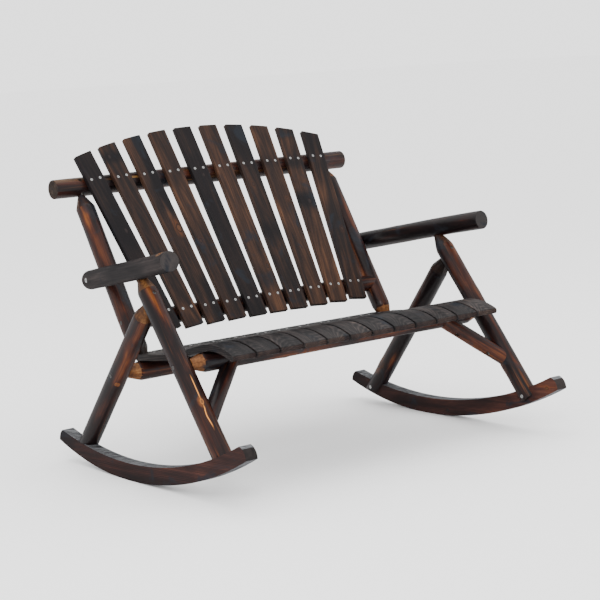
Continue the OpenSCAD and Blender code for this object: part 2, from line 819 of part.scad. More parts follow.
module seat_log_screws() {
    screw_pair(log_screw(front_log), log_screw_length);
    screw_pair(log_screw(rear_log), log_screw_length);
}

module knee_brace_screws() {
    screw_pair(brace_foot_screw, brace_foot_screw_length);
    screw_pair(brace_head_screw, brace_head_screw_length);
}

rocker(-1);  // rocker_left
rocker(1);  // rocker_right
front_leg(-1);  // front_leg_left
front_leg(1);  // front_leg_right
rear_leg(-1);  // rear_leg_left
rear_leg(1);  // rear_leg_right
armrest(-1);  // armrest_left
armrest(1);  // armrest_right
back_post(-1);  // back_post_left
back_post(1);  // back_post_right
top_rail();
lower_back_rail();
front_seat_log();
rear_seat_log();
knee_brace(-1);  // knee_brace_left
knee_brace(1);  // knee_brace_right
back_slat(0);  // back_slat_01
back_slat(1);  // back_slat_02
back_slat(2);  // back_slat_03
back_slat(3);  // back_slat_04
back_slat(4);  // back_slat_05
back_slat(5);  // back_slat_06
back_slat(6);  // back_slat_07
back_slat(7);  // back_slat_08
back_slat(8);  // back_slat_09
back_slat(9);  // back_slat_10
seat_slat(0);  // seat_slat_01
seat_slat(1);  // seat_slat_02
seat_slat(2);  // seat_slat_03
seat_slat(3);  // seat_slat_04
seat_slat(4);  // seat_slat_05
seat_slat(5);  // seat_slat_06
seat_slat(6);  // seat_slat_07
seat_slat(7);  // seat_slat_08
seat_slat(8);  // seat_slat_09
seat_slat(9);  // seat_slat_10
seat_slat(10);  // seat_slat_11
seat_slat(11);  // seat_slat_12
back_screws(1);  // upper_back_screws
back_screws(0);  // lower_back_screws
front_seat_screws();
rear_seat_screws();
rocker_screws();
screw_pair(leg_top_screw, leg_top_screw_length);  // leg_top_screws
screw_pair(arm_leg_screw, arm_leg_screw_length);  // arm_leg_screws
arm_post_bolts();
screw_pair(rail_screw, rail_screw_length);  // top_rail_screws
screw_pair(lower_rail_screw, lower_rail_screw_length);  // lower_rail_screws
seat_log_screws();
screw_pair(post_foot_screw, post_foot_screw_length);  // post_foot_screws
knee_brace_screws();
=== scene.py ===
import bpy
import bmesh
import math
import numpy as np
from mathutils import Matrix, Vector


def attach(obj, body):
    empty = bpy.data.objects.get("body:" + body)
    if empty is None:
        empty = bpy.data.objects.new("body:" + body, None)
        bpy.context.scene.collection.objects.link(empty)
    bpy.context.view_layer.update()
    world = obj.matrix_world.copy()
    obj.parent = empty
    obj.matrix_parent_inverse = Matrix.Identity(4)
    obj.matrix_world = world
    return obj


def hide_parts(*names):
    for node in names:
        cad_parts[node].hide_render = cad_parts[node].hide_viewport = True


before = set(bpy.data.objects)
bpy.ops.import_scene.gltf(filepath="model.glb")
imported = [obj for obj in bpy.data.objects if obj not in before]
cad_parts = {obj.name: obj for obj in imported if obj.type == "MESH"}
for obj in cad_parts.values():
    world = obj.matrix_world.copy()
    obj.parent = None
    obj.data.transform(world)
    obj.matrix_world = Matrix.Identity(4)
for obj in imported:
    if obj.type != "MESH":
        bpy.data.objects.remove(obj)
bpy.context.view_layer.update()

# Camera: it stands where the photograph was taken from, to the left of the bench's front and
# a little above the back, and holds the small roll that the photograph has.
camera = bpy.data.objects.new("camera", bpy.data.cameras.new("camera"))
bpy.context.scene.collection.objects.link(camera)
bpy.context.scene.camera = camera
camera_place = Vector((-2.9780, -3.9243, 1.1344))
heading, pitch, roll = math.radians(-37.2), math.radians(8.17), math.radians(-3.2)
camera.data.sensor_width = 36.0
camera.data.lens = 105.1
camera.data.clip_end = 200.0
look = Vector((-math.sin(heading) * math.cos(pitch), math.cos(heading) * math.cos(pitch), -math.sin(pitch)))
level = Vector((math.cos(heading), math.sin(heading), 0.0))
upright = level.cross(look)
image_right = level * math.cos(roll) + upright * math.sin(roll)
image_up = upright * math.cos(roll) - level * math.sin(roll)
camera.matrix_world = Matrix.Translation(camera_place) @ Matrix(
    (image_right, image_up, -look)).transposed().to_4x4()

# Studio: a pale floor that runs out of sight into a surround of the same white, a wide soft lamp
# overhead, a smaller one over the left front and a weaker one from the right.
world = bpy.data.worlds.new("studio")
bpy.context.scene.world = world
world.use_nodes = True
surround = world.node_tree.nodes["Background"]
surround.inputs["Color"].default_value = (1.0, 1.0, 1.0, 1.0)
surround.inputs["Strength"].default_value = 2.2
floor_half = 60.0
floor_mesh = bpy.data.meshes.new("floor")
floor_mesh.from_pydata([(-floor_half, -floor_half, 0), (floor_half, -floor_half, 0),
                        (floor_half, floor_half, 0), (-floor_half, floor_half, 0)], [], [(0, 1, 2, 3)])
floor = bpy.data.objects.new("floor", floor_mesh)
bpy.context.scene.collection.objects.link(floor)
floor_paint = bpy.data.materials.new("pale floor")
floor_paint.use_nodes = True
floor_shader = floor_paint.node_tree.nodes["Principled BSDF"]
floor_shader.inputs["Base Color"].default_value = (0.96, 0.96, 0.96, 1.0)
floor_shader.inputs["Roughness"].default_value = 0.9
floor_shader.inputs["Specular IOR Level"].default_value = 0.1
floor_mesh.materials.append(floor_paint)
lamps_aim_at = Vector((0, 0, 0.45))
for lamp_name, lamp_at, lamp_size, lamp_watts in (
        ("overhead lamp", (0.0, 0.4, 4.0), 3.0, 60.0),
        ("key lamp", (-2.6, -3.2, 2.6), 0.9, 60.0),
        ("fill lamp", (3.4, -3.2, 1.6), 1.6, 25.0)):
    lamp = bpy.data.objects.new(lamp_name, bpy.data.lights.new(lamp_name, "AREA"))
    bpy.context.scene.collection.objects.link(lamp)
    lamp.data.energy = lamp_watts
    lamp.data.size = lamp_size
    lamp.location = lamp_at
    lamp.rotation_euler = (lamps_aim_at - Vector(lamp_at)).to_track_quat("-Z", "Y").to_euler()


# Rockers: each is one thick fir plank, bandsawn along its curves, so that its faces show straight
# grain and its upper and lower edges the saw's marks. They are scorched and varnished as all the
# wood here is. The legs are screwed to their inner faces.
def wire(tree, kind, links=None, **settings):
    """One shader node: links gives its inputs, by name or number, as sockets or plain values."""
    node = tree.nodes.new(kind)
    for key, value in settings.items():
        setattr(node, key, value)
    for key, value in (links or {}).items():
        if isinstance(value, bpy.types.NodeSocket):
            tree.links.new(value, node.inputs[key])
        else:
            node.inputs[key].default_value = value
    return node


def sums(tree, operation, a, b=0.0, c=0.0):
    return wire(tree, "ShaderNodeMath", {0: a, 1: b, 2: c}, operation=operation).outputs[0]


def fade(tree, value, low, high, to_low=0.0, to_high=1.0):
    """A soft step of value from low to high."""
    return wire(tree, "ShaderNodeMapRange", {0: value, 1: low, 2: high, 3: to_low, 4: to_high},
                interpolation_type="SMOOTHSTEP").outputs[0]


def blended(tree, share, a, b):
    return wire(tree, "ShaderNodeMix", {0: share, 6: a, 7: b}, data_type="RGBA").outputs[2]


def ramp(tree, value, stops):
    node = wire(tree, "ShaderNodeValToRGB", {0: value})
    node.color_ramp.interpolation = "B_SPLINE"
    while len(node.color_ramp.elements) < len(stops):
        node.color_ramp.elements.new(0.5)
    for element, (place, colour) in zip(node.color_ramp.elements, stops):
        element.position = place
        element.color = (*colour, 1.0)
    return node.outputs[0]


def speckle(tree, where, stretch, detail=4.0, roughness=0.6, distortion=0.0):
    """Noise over the wood's own grain coordinates, stretched: patches a metre are given by axis."""
    scaled = wire(tree, "ShaderNodeVectorMath", {0: where, 1: stretch}, operation="MULTIPLY").outputs[0]
    return wire(tree, "ShaderNodeTexNoise", {"Vector": scaled, "Scale": 1.0, "Detail": detail,
                "Roughness": roughness, "Distortion": distortion}).outputs["Fac"]


def stored(tree, name, output="Vector"):
    """What mark_wood stored on the wood's points under this name."""
    return wire(tree, "ShaderNodeAttribute", attribute_name=name).outputs[output]


def part_at_knots(tree, grain):
    """The way across to the nearest knot, how many of its radii it lies away, and the grain with its
    lines parted to either side of it."""
    narrower_than_long, parting_strength = 0.62, -0.9
    across, along, size = wire(tree, "ShaderNodeSeparateXYZ", {0: stored(tree, "knot")}).outputs
    waver = speckle(tree, grain, (70.0, 70.0, 40.0), 2.0)
    ragged = sums(tree, "MULTIPLY_ADD", waver, 0.9, 0.55)
    size = sums(tree, "MULTIPLY", sums(tree, "MAXIMUM", size, 0.0001), ragged)
    across_knots = sums(tree, "DIVIDE", across, size)
    along_knots = sums(tree, "DIVIDE", sums(tree, "MULTIPLY", along, narrower_than_long), size)
    along_square = sums(tree, "MULTIPLY", along_knots, along_knots)
    square = sums(tree, "MULTIPLY_ADD", across_knots, across_knots, along_square)
    away = sums(tree, "SQRT", square)
    parting = sums(tree, "DIVIDE", across, sums(tree, "MAXIMUM", square, 1.0))
    shift = wire(tree, "ShaderNodeVectorMath", {0: stored(tree, "around"),
                 "Scale": sums(tree, "MULTIPLY", parting, parting_strength)}, operation="SCALE").outputs[0]
    grain = wire(tree, "ShaderNodeVectorMath", {0: grain, 1: shift}, operation="ADD").outputs[0]
    return across, away, grain


def growth_rings(tree, grain, drift):
    """Bands from 0 to 1, a ring each 3.3 mm, about the heart of the tree that the piece was cut from."""
    radians_a_metre = 1900.0
    x, y, _ = wire(tree, "ShaderNodeSeparateXYZ", {0: grain}).outputs
    heart = sums(tree, "SQRT", sums(tree, "MULTIPLY_ADD", x, x, sums(tree, "MULTIPLY", y, y)))
    phase = sums(tree, "MULTIPLY_ADD", heart, radians_a_metre, sums(tree, "MULTIPLY", drift, 16.0))
    return sums(tree, "POWER", sums(tree, "MULTIPLY_ADD", sums(tree, "SINE", phase), 0.5, 0.5), 1.8)


def saw_teeth(tree, grain, drift):
    """The marks of a saw, which run across the grain and a little aslant."""
    x, y, _ = wire(tree, "ShaderNodeSeparateXYZ", {0: grain}).outputs
    skew = wire(tree, "ShaderNodeVectorMath", {0: grain, 1: (0.0, 0.7, 1.0)},
                operation="DOT_PRODUCT").outputs["Value"]
    toothed = wire(tree, "ShaderNodeCombineXYZ", {0: x, 1: y, 2: skew}).outputs[0]
    teeth = speckle(tree, toothed, (26.0, 26.0, 210.0), 3.0, 0.75)
    stroke = sums(tree, "MULTIPLY_ADD", skew, 1150.0, sums(tree, "MULTIPLY", drift, 9.0))
    return sums(tree, "MULTIPLY_ADD", sums(tree, "SINE", stroke), 0.07, teeth)


def with_vein(tree, colour, grain, across, away):
    """The colour with the bright vein that wanders along the grain through some knots."""
    vein_gold = (0.62, 0.25, 0.055, 1.0)
    wander = sums(tree, "MULTIPLY_ADD", speckle(tree, grain, (4.0, 4.0, 13.0), 1.0), 0.026, -0.013)
    wander = sums(tree, "MULTIPLY", wander, fade(tree, away, 1.0, 6.0))
    off_vein = sums(tree, "ABSOLUTE", sums(tree, "ADD", across, wander))
    bright = fade(tree, off_vein, 0.0004, 0.0021, 1.0, 0.0)
    bright = sums(tree, "MULTIPLY", bright, stored(tree, "vein", "Fac"))
    return blended(tree, bright, colour, vein_gold)


def with_knots(tree, colour, away, rim, ring, ember):
    """The colour with its knots: a dark rim, rings inside it, and a warm halo round it."""
    halo_dark = (0.03, 0.014, 0.010, 1.0)
    knot_light = (0.20, 0.080, 0.026, 1.0)
    knot_dark = (0.045, 0.018, 0.010, 1.0)
    knot_burnt = (0.016, 0.012, 0.012, 1.0)
    rim_black = (0.008, 0.005, 0.005, 1.0)
    rim_gold = (0.40, 0.15, 0.035, 1.0)
    glow = stored(tree, "glow", "Fac")
    halo = sums(tree, "MULTIPLY", fade(tree, away, 1.0, 3.6, 1.0, 0.0), sums(tree, "MULTIPLY", glow, 0.75))
    colour = blended(tree, halo, colour, blended(tree, ring, (*ember, 1.0), halo_dark))
    rings = sums(tree, "MULTIPLY_ADD", sums(tree, "SINE", sums(tree, "MULTIPLY", away, 17.0)), 0.5, 0.5)
    knot_wood = blended(tree, glow, knot_burnt, blended(tree, rings, knot_light, knot_dark))
    colour = blended(tree, fade(tree, away, 0.85, 1.0, 1.0, 0.0), colour, knot_wood)
    rim_colour = blended(tree, stored(tree, "vein", "Fac"), rim_black, rim_gold)
    return blended(tree, sums(tree, "MULTIPLY", rim, 0.85), colour, rim_colour)


def scorched_wood(name, stops, ember, ring_share, gloss, sawn=0.0, ember_from=0.62, patchy=1.05):
    """Flame-scorched fir under varnish. stops is its range of colours from char to bare wood, ember
    the colour where the char was brushed off, sawn the strength of a saw's cross marks, and patchy
    that of the broad scorching."""
    char_black = (0.010, 0.012, 0.016, 1.0)
    saw_grey = (0.17, 0.173, 0.18, 1.0)
    made = bpy.data.materials.new(name)
    made.use_nodes = True
    tree = made.node_tree
    shader = tree.nodes["Principled BSDF"]
    tone = stored(tree, "tone", "Fac")
    across, away, grain = part_at_knots(tree, stored(tree, "grain"))
    # Broad scorching, streaks along the grain, fibres and rings together say how deep the char is.
    cloud = speckle(tree, grain, (22.0, 22.0, 5.0), 3.0, 0.55, 0.4)
    streak = speckle(tree, grain, (95.0, 95.0, 2.6), 4.0, 0.62, 0.25)
    fibre = speckle(tree, grain, (620.0, 620.0, 14.0), 4.0, 0.65)
    drift = speckle(tree, grain, (30.0, 30.0, 4.0), 2.0)
    ring = growth_rings(tree, grain, drift)
    depth = sums(tree, "MULTIPLY_ADD", cloud, patchy, 0.225 - patchy / 2)
    for layer, share in ((streak, 0.85), (fibre, 0.42), (ring, ring_share)):
        depth = sums(tree, "MULTIPLY_ADD", layer, share, depth)
    depth = sums(tree, "MULTIPLY_ADD", tone, 0.9, sums(tree, "SUBTRACT", depth, 0.98))
    colour = ramp(tree, depth, stops)
    # Where the brush took the char off, the wood glows through in narrow streaks.
    lit = speckle(tree, grain, (75.0, 75.0, 3.2), 4.0, 0.62, 0.5)
    lit = fade(tree, sums(tree, "MULTIPLY_ADD", tone, 0.42, lit), ember_from, ember_from + 0.30)
    lit = sums(tree, "MULTIPLY", lit, fade(tree, fibre, 0.28, 0.62, 0.45, 0.95))
    colour = blended(tree, lit, colour, (*ember, 1.0))
    # Blue-black char in patches
    char = speckle(tree, grain, (14.0, 14.0, 9.0), 3.0, 0.6, 0.8)
    char = sums(tree, "SUBTRACT", char, sums(tree, "MULTIPLY", tone, 0.10))
    colour = blended(tree, fade(tree, char, 0.52, 0.66, 0.0, 0.8), colour, char_black)
    colour = with_vein(tree, colour, grain, across, away)
    rim = sums(tree, "MULTIPLY", fade(tree, away, 0.78, 0.98), fade(tree, away, 1.02, 1.3, 1.0, 0.0))
    colour = with_knots(tree, colour, away, rim, ring, ember)
    relief = sums(tree, "MULTIPLY_ADD", fibre, 0.55, sums(tree, "MULTIPLY", streak, 0.8))
    relief = sums(tree, "MULTIPLY_ADD", ring, ring_share * 0.8, relief)
    relief = sums(tree, "SUBTRACT", relief, sums(tree, "MULTIPLY", rim, 0.5))
    if sawn:
        teeth = saw_teeth(tree, grain, drift)
        colour = blended(tree, fade(tree, teeth, 0.42, 0.60, 0.0, sawn), colour, saw_grey)
        relief = sums(tree, "MULTIPLY_ADD", teeth, sawn * 1.6, relief)
    tree.links.new(colour, shader.inputs["Base Color"])
    rough = sums(tree, "MULTIPLY_ADD", fibre, 0.26, sums(tree, "MULTIPLY", cloud, 0.16))
    rough = sums(tree, "ADD", rough, 0.10 + (1.0 - gloss) * 0.42)
    tree.links.new(rough, shader.inputs["Roughness"])
    # The wood's pores and fibres break the varnish up, so that it mirrors little at a low angle. The
    # two plain values are for programs that can't read the links.
    facing = wire(tree, "ShaderNodeLayerWeight", {"Blend": 0.5}).outputs["Facing"]
    sheen = fade(tree, facing, 0.25, 0.95, 1.0, 0.12)
    for label, most in (("Specular IOR Level", 0.02 + gloss * 0.09), ("Coat Weight", gloss * gloss * 0.12)):
        shader.inputs[label].default_value = most * 0.7
        tree.links.new(sums(tree, "MULTIPLY", sheen, most), shader.inputs[label])
    shader.inputs["Coat Roughness"].default_value = 0.16
    bump = wire(tree, "ShaderNodeBump", {"Height": relief, "Strength": 0.55, "Distance": 0.0009})
    tree.links.new(bump.outputs[0], shader.inputs["Normal"])
    return made


def cut_copy(node, origin, along, step, across=None):
    """A closed copy of a CAD piece, sliced square to its length into short rings of faces. across
    is (way, places): more cuts, along the piece, at those places."""
    shape = bmesh.new()
    shape.from_mesh(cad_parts[node].data)
    bmesh.ops.remove_doubles(shape, verts=shape.verts, dist=0.000002)
    places = [(vertex.co - origin).dot(along) for vertex in shape.verts]
    cuts = [(along, place) for place in np.arange(min(places) + step / 2, max(places), step)]
    if across:
        cuts += [(across[0], place) for place in across[1]]
    for way, place in cuts:
        everything = shape.verts[:] + shape.edges[:] + shape.faces[:]
        bmesh.ops.bisect_plane(shape, geom=everything, dist=0.0000005,
                               plane_co=origin + way * float(place), plane_no=way)
    mesh = bpy.data.meshes.new(node + "_wood")
    shape.to_mesh(mesh)
    shape.free()
    return mesh


def points_of(mesh):
    """The mesh's points, a row for each."""
    places = np.empty(len(mesh.vertices) * 3)
    mesh.vertices.foreach_get("co", places)
    return places.reshape(-1, 3)


def mark_wood(mesh, grain, around, knots_at, tone, unrolled):
    """Stores what the wood shaders read: grain and around, and for each point its nearest knot.
    knots_at lists (across, along, radius, reach of its vein, girth of a log or 0, glow); unrolled
    gives each point's (across, along)."""
    narrower_than_long, vein_half, no_knot, out_of_reach = 0.6, 0.02, 0.05, 9.0
    count = len(mesh.vertices)
    nearest = np.zeros((count, 3))
    nearest[:, :2] = no_knot
    veins, glows = np.zeros(count), np.zeros(count)
    gap = np.full(count, out_of_reach)
    for at_across, at_along, radius, vein, turn, glow in knots_at:
        off = unrolled - (at_across, at_along)
        if turn:
            off[:, 0] = (off[:, 0] + turn / 2) % turn - turn / 2
        far = np.hypot(off[:, 0], off[:, 1] * narrower_than_long)
        closer = far < gap
        gap[closer] = far[closer]
        reach = np.clip(2.6 - far / (2.0 * radius), 0.02, 1.0)
        if turn:
            # Round the back of a log the distances change sides, so they are counted as far along.
            off[np.abs(off[:, 0]) > 0.3 * turn, 1] += 0.5
        nearest[closer] = np.column_stack((off, radius * reach))[closer]
        reach = np.clip((vein - np.abs(off[:, 1])) * 60.0, 0.0, 1.0) * (np.abs(off[:, 0]) < vein_half)
        veins[closer] = reach[closer]
        glows[closer] = glow
    for label, kind, values in (("grain", "FLOAT_VECTOR", grain), ("around", "FLOAT_VECTOR", around),
                                ("knot", "FLOAT_VECTOR", nearest), ("tone", "FLOAT", tone),
                                ("vein", "FLOAT", veins), ("glow", "FLOAT", glows)):
        layer = mesh.attributes.new(label, kind, "POINT")
        layer.data.foreach_set("vector" if kind == "FLOAT_VECTOR" else "value",
                               np.asarray(values, dtype=np.float32).ravel())


def finished(node, mesh, finishes, finish_of):
    """Gives each face its finish, shades the piece and puts it in its CAD node's place."""
    for finish in finishes:
        mesh.materials.append(finish)
    for face in mesh.polygons:
        face.material_index = finish_of(face)
        face.use_smooth = True
    mesh.set_sharp_from_angle(angle=0.5)
    piece = bpy.data.objects.new(node + "_wood", mesh)
    bpy.context.scene.collection.objects.link(piece)
    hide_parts(node)
    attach(piece, "root")


rocker_face = scorched_wood("rocker plank", (
    (0.0, (0.0063, 0.0044, 0.0049)), (0.35, (0.0126, 0.0066, 0.0063)), (0.6, (0.0261, 0.0111, 0.0098)),
    (0.82, (0.0504, 0.0192, 0.0147)), (1.0, (0.099, 0.0369, 0.0232))),
    (0.18, 0.0517, 0.0176), ring_share=0.22, gloss=0.35, ember_from=0.95)
rocker_sawn = scorched_wood("rocker sawn edge", (
    (0.0, (0.012, 0.012, 0.014)), (0.4, (0.026, 0.026, 0.029)), (0.7, (0.055, 0.056, 0.06)),
    (1.0, (0.12, 0.12, 0.125))), (0.14, 0.13, 0.12), ring_share=0.06, gloss=0.10, sawn=0.85, ember_from=1.2)
rocker_end = scorched_wood("rocker end", (
    (0.0, (0.005, 0.005, 0.0055)), (0.5, (0.013, 0.0115, 0.0115)), (1.0, (0.033, 0.027, 0.026))),
    (0.05, 0.03, 0.02), ring_share=0.30, gloss=0.0, ember_from=1.2)
for side, heart_x, rocker_tone in (("left", -0.475, 0.48), ("right", 0.58, 0.60)):
    mesh = cut_copy("rocker_" + side, Vector((0, 0, 0)), Vector((0, 1, 0)), step=0.012)
    at = points_of(mesh)
    # The plank was cut beside the heart of its tree, so its face shows long, nearly straight rings.
    grain = np.column_stack((at[:, 2] + 0.05 + 0.05 * at[:, 1], (at[:, 0] - heart_x) * 0.9, at[:, 1] + 3.0))
    around = np.tile((1.0, 0.0, 0.0), (len(at), 1))
    knots = {"left": [(0.10, 0.25, 0.006, 0.0, 0, 0.0)],
             "right": [(0.139, -0.442, 0.0048, 0.0, 0, 0.5), (0.02, -0.02, 0.005, 0.0, 0, 0.0)]}[side]
    tone = rocker_tone - 0.16 * np.sin(at[:, 1] * 3.2)
    # The rear end is charred, and the right one's front end was brushed bright.
    tone = tone - 0.45 * np.clip((at[:, 1] - 0.35) / 0.06, 0, 1)
    tone = tone + 0.16 * np.clip((-0.395 - at[:, 1]) / 0.02, 0, 1) * (side == "right")
    mark_wood(mesh, grain, around, knots, tone, np.column_stack((at[:, 2], at[:, 1])))

    def rocker_finish(face):
        """0 for the plank's faces, 1 for its sawn edges and 2 for its ends."""
        if abs(face.normal.x) > 0.7:
            return 0
        return 2 if face.normal.z > -0.3 and abs(face.normal.y) > 0.62 else 1
    finished("rocker_" + side, mesh, (rocker_face, rocker_sawn, rocker_end), rocker_finish)


# Side frames: on each side a front and a rear leg, peeled fir logs that lean together in an A.
# Their feet lap over the rocker's inner face. The rear leg's shaved point butts against the front
# leg, whose own point carries the armrest.
log_stops = ((0.0, (0.004, 0.003, 0.0035)), (0.30, (0.009, 0.0045, 0.0045)), (0.50, (0.026, 0.0075, 0.005)),
             (0.68, (0.060, 0.0165, 0.007)), (0.85, (0.125, 0.038, 0.010)), (1.0, (0.20, 0.070, 0.019)))
log_ember = (0.20, 0.062, 0.013)
log_side = scorched_wood("scorched log", log_stops, log_ember, ring_share=0.0, gloss=0.85,
                         ember_from=0.77, patchy=1.6)
log_point = scorched_wood("shaved point", (
    (0.0, (0.0213, 0.0078, 0.0043)), (0.3, (0.085, 0.0313, 0.0108)), (0.6, (0.221, 0.0899, 0.0303)),
    (1.0, (0.442, 0.2268, 0.0939))), (0.425, 0.1955, 0.0686), ring_share=0.07, gloss=0.7, ember_from=0.80)
log_warm_point = scorched_wood("smoked point", (
    (0.0, (0.009, 0.0045, 0.003)), (0.3, (0.036, 0.014, 0.006)), (0.6, (0.100, 0.041, 0.014)),
    (1.0, (0.25, 0.12, 0.045))), (0.25, 0.105, 0.034), ring_share=0.07, gloss=0.7, ember_from=0.80)
log_dark_point = scorched_wood("scorched point", (
    (0.0, (0.006, 0.0045, 0.004)), (0.35, (0.018, 0.009, 0.007)), (0.65, (0.05, 0.022, 0.013)),
    (1.0, (0.16, 0.075, 0.035))), (0.20, 0.08, 0.03), ring_share=0.10, gloss=0.6, ember_from=0.95)
log_end = scorched_wood("log end", (
    (0.0, (0.005, 0.004, 0.004)), (0.4, (0.012, 0.009, 0.008)), (0.8, (0.034, 0.024, 0.019)),
    (1.0, (0.085, 0.055, 0.040))), (0.06, 0.030, 0.016), ring_share=0.45, gloss=0.25, ember_from=1.1)


def wavy(angle, length, seed, turns=5, per_metre=9.0):
    """A smooth field from 0 to 1 over a log's surface, the sum of a few waves."""
    wave_count, full_turn = 9, 6.283
    draw = np.random.RandomState(seed)
    total = np.zeros_like(length)
    for _ in range(wave_count):
        total += np.cos(draw.randint(0, turns) * angle + draw.uniform(1.0, per_metre) * full_turn * length
                        + draw.uniform(0, full_turn))
    return 0.5 + total / (2 * wave_count)


def dressed_log(node, start, end, diameter, seed, tone, lit=(), knots=(), bend=None, point_reach=0.075,
                skin_finish=log_side, point_finish=log_point, end_finish=log_end):
    """A CAD log with the small unevenness and knots of a real one. lit lists bands where the char is
    brushed off: (angle in degrees, half width, first and last place along, strength); knots lists
    (place along, angle in degrees, radius, reach of its vein). Angles count round the log from its
    level side. bend is where along it a bend begins and how far that shifts the far end. Skin, shaved
    points up to point_reach from an end, and end faces each have their own finish."""
    unevenness, knot_swelling = 0.0012, 0.0014
    swells_from, glows_under, band_fade, grain_step = 0.004, 0.0065, 0.05, 1.37
    start, end = Vector(start), Vector(end)
    axis = (end - start).normalized()
    length = (end - start).length
    sideways = Vector((0, 0, 1)).cross(axis).normalized()
    over = axis.cross(sideways)
    mesh = cut_copy(node, start, axis, step=0.010)
    at = points_of(mesh)
    off = at - np.array(start)
    along = off @ np.array(axis)
    x, y = off @ np.array(sideways), off @ np.array(over)
    angle, out = np.arctan2(y, x), np.hypot(x, y)
    radius = diameter / 2
    girth = 2 * math.pi * radius
    skin = np.clip((out - radius + 0.0012) / 0.0006, 0.0, 1.0)
    push = -unevenness * wavy(angle, along, seed)
    for place, turn, size, vein in knots:
        around_gap = (np.radians(turn) - angle + math.pi) % (2 * math.pi) - math.pi
        gap = np.hypot(around_gap * radius, along - place)
        push += knot_swelling * np.exp(-(gap / (1.5 * size)) ** 2) * (size > swells_from)
    push *= skin
    direction = np.column_stack((x, y)) / np.maximum(out, 1e-6)[:, None]
    at = at + (direction[:, :1] * push[:, None]) * np.array(sideways)
    at = at + (direction[:, 1:] * push[:, None]) * np.array(over)
    if bend is not None:
        begins, shift = bend
        at = at + np.clip((along - begins) / (length - begins), 0.0, 1.2)[:, None] ** 1.6 * np.array(shift)
    mesh.vertices.foreach_set("co", at.ravel())
    mesh.update()
    # Each log has its own stretch of the grain.
    grain = np.column_stack((x, y, along + seed * grain_step))
    around = np.column_stack((-direction[:, 1], direction[:, 0], np.zeros(len(x))))
    tones = np.full(len(x), tone)
    for turn, wide, first, last, strength in lit:
        around_gap = (np.radians(turn) - angle + math.pi) % (2 * math.pi) - math.pi
        share = np.exp(-(around_gap / math.radians(wide)) ** 2)
        share *= np.clip((along - first) / band_fade, 0.0, 1.0)
        share *= np.clip((last - along) / band_fade, 0.0, 1.0)
        share *= np.clip(3.2 * wavy(angle, along, seed + 200, 3, 6.0) - 0.9, 0.0, 1.5)
        tones = tones + strength * share
    marks = [(math.radians(turn) * radius, place, size, vein, girth, 1.0 if size < glows_under else 0.35)
             for place, turn, size, vein in knots]
    mark_wood(mesh, grain, around, marks, tones, np.column_stack((angle * radius, along)))

    def log_finish(face):
        """0 for the skin, 1 for a shaved point and 2 for an end or a hollow."""
        corners = list(face.vertices)
        place, depth = along[corners].mean(), out[corners].mean()
        slope = abs(face.normal.dot(axis))
        if depth > radius - 0.0025 and slope < 0.12:
            return 0
        if slope > 0.93:
            return 2
        if depth > radius - 0.0012:
            return 0
        near_end = min(place - along.min(), along.max() - place)
        return 1 if near_end < point_reach and depth > radius * 0.25 else 2
    finished(node, mesh, (skin_finish, point_finish, end_finish), log_finish)


def sided(side, place):
    """The same place on the right, 1, or the left, -1."""
    return (place[0] * side, place[1], place[2])


leg_diameter = 0.055
front_foot, front_head = (0.5356, -0.3659, 0.0991), (0.5266, 0.0087, 0.5776)
rear_foot, rear_head = (0.5373, 0.3627, 0.0093), (0.5280, -0.0505, 0.5020)
dressed_log("front_leg_left", sided(-1, front_foot), sided(-1, front_head), leg_diameter, seed=11, tone=0.46,
            lit=((62, 24, 0.40, 0.62, 0.28), (90, 26, 0.24, 0.46, 0.30), (95, 30, -0.02, 0.10, 0.12),
                 (-150, 40, 0.1, 0.5, 0.2)),
            knots=((0.1823, 78, 0.0042, 0.080), (0.44, -80, 0.009, 0.0)), point_finish=log_warm_point)
dressed_log("front_leg_right", front_foot, front_head, leg_diameter, seed=12, tone=0.42,
            lit=((60, 40, -0.03, 0.22, 0.18), (100, 30, 0.1, 0.62, 0.12), (-20, 35, 0.0, 0.3, 0.2)),
            knots=((0.36, 110, 0.007, 0.0), (0.12, -60, 0.010, 0.0)), point_finish=log_dark_point)
dressed_log("rear_leg_left", sided(-1, rear_foot), sided(-1, rear_head), leg_diameter, seed=13, tone=0.38,
            lit=((-125, 30, 0.30, 0.68, 0.34), (40, 40, 0.0, 0.6, 0.15)),
            knots=((0.3406, -125, 0.0020, 0.0), (0.3406, -113, 0.0020, 0.0), (0.21, 30, 0.008, 0.0)),
            point_finish=log_warm_point)
dressed_log("rear_leg_right", rear_foot, rear_head, leg_diameter, seed=14, tone=0.27,
            lit=((-130, 30, 0.12, 0.26, 0.40), (30, 34, 0.2, 0.6, 0.25)),
            knots=((0.42, -70, 0.008, 0.0), (0.15, 140, 0.010, 0.0)), point_finish=log_dark_point)

# Seat logs: two cross logs that carry the seat. Both ends are shaved to points that butt against
# the insides of the legs, each held by one long screw from outside.
seat_log_diameter = 0.054
front_log_end, rear_log_end = (0.5311, -0.1789, 0.3380), (0.5322, 0.1357, 0.2800)
dressed_log("front_seat_log", sided(-1, front_log_end), front_log_end, seat_log_diameter, seed=21, tone=0.48,
            lit=((-90, 34, 0.0, 1.1, 0.22),), knots=((0.33, -100, 0.007, 0.0), (0.80, 60, 0.010, 0.0)))
dressed_log("rear_seat_log", sided(-1, rear_log_end), rear_log_end, seat_log_diameter, seed=22, tone=0.50,
            lit=((-100, 34, 0.0, 1.1, 0.30),), knots=((0.22, -80, 0.007, 0.0), (0.72, 100, 0.010, 0.0)))

# Knee braces: short logs from under the front seat log down to the insides of the front legs. Both
# ends are hollowed to fit round the log that they meet, and screwed.
brace_diameter = 0.044
brace_foot, brace_head = (0.5337, -0.2861, 0.2010), (0.3700, *front_log_end[1:])
for node, side, seed, tone in (("knee_brace_left", -1, 31, 0.36), ("knee_brace_right", 1, 32, 0.60)):
    dressed_log(node, sided(side, brace_foot), sided(side, brace_head), brace_diameter, seed=seed, tone=tone,
                point_reach=0.0)

